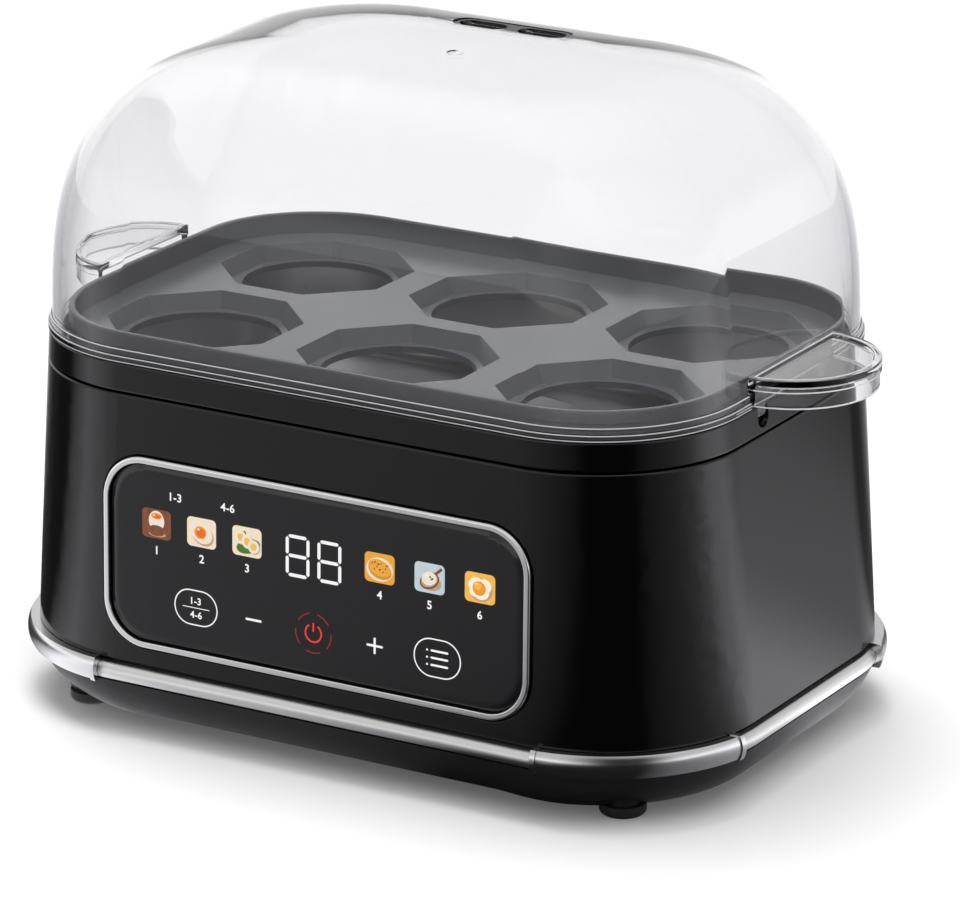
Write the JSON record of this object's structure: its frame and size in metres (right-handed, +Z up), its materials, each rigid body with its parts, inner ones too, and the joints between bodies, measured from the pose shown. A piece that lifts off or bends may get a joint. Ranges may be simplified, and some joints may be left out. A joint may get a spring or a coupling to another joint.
{
  "type": "electric egg cooker",
  "caption": "Free-standing electric egg cooker with a clear domed lid, a lift-out egg tray, a heated dish and a touch panel in its tapered housing.",
  "frame": {"origin": "on the standing surface, under the middle of the body's rounded outline", "axes": "+Z up, -Y out of the front with the touch panel, +X to the right as seen from the front"},
  "size_m": [0.2158, 0.133, 0.1555],
  "materials": {
    "clear_plastic": "clear, polished",
    "tray_plastic": "dark grey, satin",
    "black_plastic": "black, polished",
    "charcoal_plastic": "charcoal, fine texture",
    "satin_steel": "satin",
    "polished_chrome": "polished",
    "panel_glass": "black, polished",
    "foot_rubber": "matte",
    "dish_steel": "pressed, satin",
    "seal_rubber": "silicone, matte",
    "cast_aluminium": "as cast",
    "tube_steel": "heat-tinted",
    "zinc_steel": "zinc plated",
    "stat_ceramic": "unglazed",
    "fuse_metal": "drawn",
    "inner_plastic": "plain moulding",
    "board_laminate": "green, lacquered",
    "display_plastic": "dark, moulded",
    "frosted_plastic": "frosted",
    "pad_foam": "conductive foam",
    "relay_plastic": "blue, moulded",
    "core_iron": "laminated, varnished",
    "can_aluminium": "sleeved",
    "buzzer_plastic": "black, moulded",
    "terminal_plastic": "green, moulded",
    "socket_plastic": "ivory, moulded",
    "cable_plastic": "grey, flexible",
    "lead_sleeve": "silicone sleeve"
  },
  "bodies": {
    "cooker": {"upper_collar": "black_plastic", "housing_shell": "black_plastic", "base_shell": "charcoal_plastic", "heating_dish": "dish_steel", "dish_gasket": "seal_rubber", "heater_plate": "cast_aluminium", "heater_tube": "tube_steel", "thermostat": "stat_ceramic", "thermostat_strap": "zinc_steel", "thermal_fuse": "fuse_metal", "heat_shield": "zinc_steel", "control_bezel": "satin_steel", "touch_glass": "panel_glass", "panel_carrier": "inner_plastic", "panel_screws": "zinc_steel", "control_board": "board_laminate", "control_board_screws": "zinc_steel", "digit_display": "display_plastic", "light_guides": "frosted_plastic", "touch_pads": "pad_foam", "power_board": "board_laminate", "power_board_screws": "zinc_steel", "relay": "relay_plastic", "supply_transformer": "core_iron", "smoothing_capacitor": "can_aluminium", "buzzer": "buzzer_plastic", "terminal_block": "terminal_plastic", "ribbon_socket": "socket_plastic", "ribbon_cable": "cable_plastic", "heater_leads": "lead_sleeve", "cord_bush": "inner_plastic", "base_screws": "zinc_steel", "trim_bar_front": "satin_steel", "trim_bar_rear": "satin_steel", "trim_bar_left": "satin_steel", "trim_bar_right": "satin_steel", "trim_cap_front_left": "polished_chrome", "trim_cap_front_right": "polished_chrome", "trim_cap_rear_left": "polished_chrome", "trim_cap_rear_right": "polished_chrome", "foot_front_left": "foot_rubber", "foot_front_right": "foot_rubber", "foot_rear_left": "foot_rubber", "foot_rear_right": "foot_rubber"},
    "lid": {"lid_dome": "clear_plastic"},
    "tray": {"egg_tray": "tray_plastic"}
  },
  "joints": [
    {"name": "lid_lift", "type": "slide", "parent": "cooker", "child": "lid", "axis": [0, 0, 1], "range_m": [0, 0.12]},
    {"name": "tray_lift", "type": "slide", "parent": "cooker", "child": "tray", "axis": [0, 0, 1], "range_m": [0, 0.06]}
  ],
  "couplings": [
    {"joint": "tray_lift", "follows": "lid_lift", "ratio": 0.5}
  ]
}
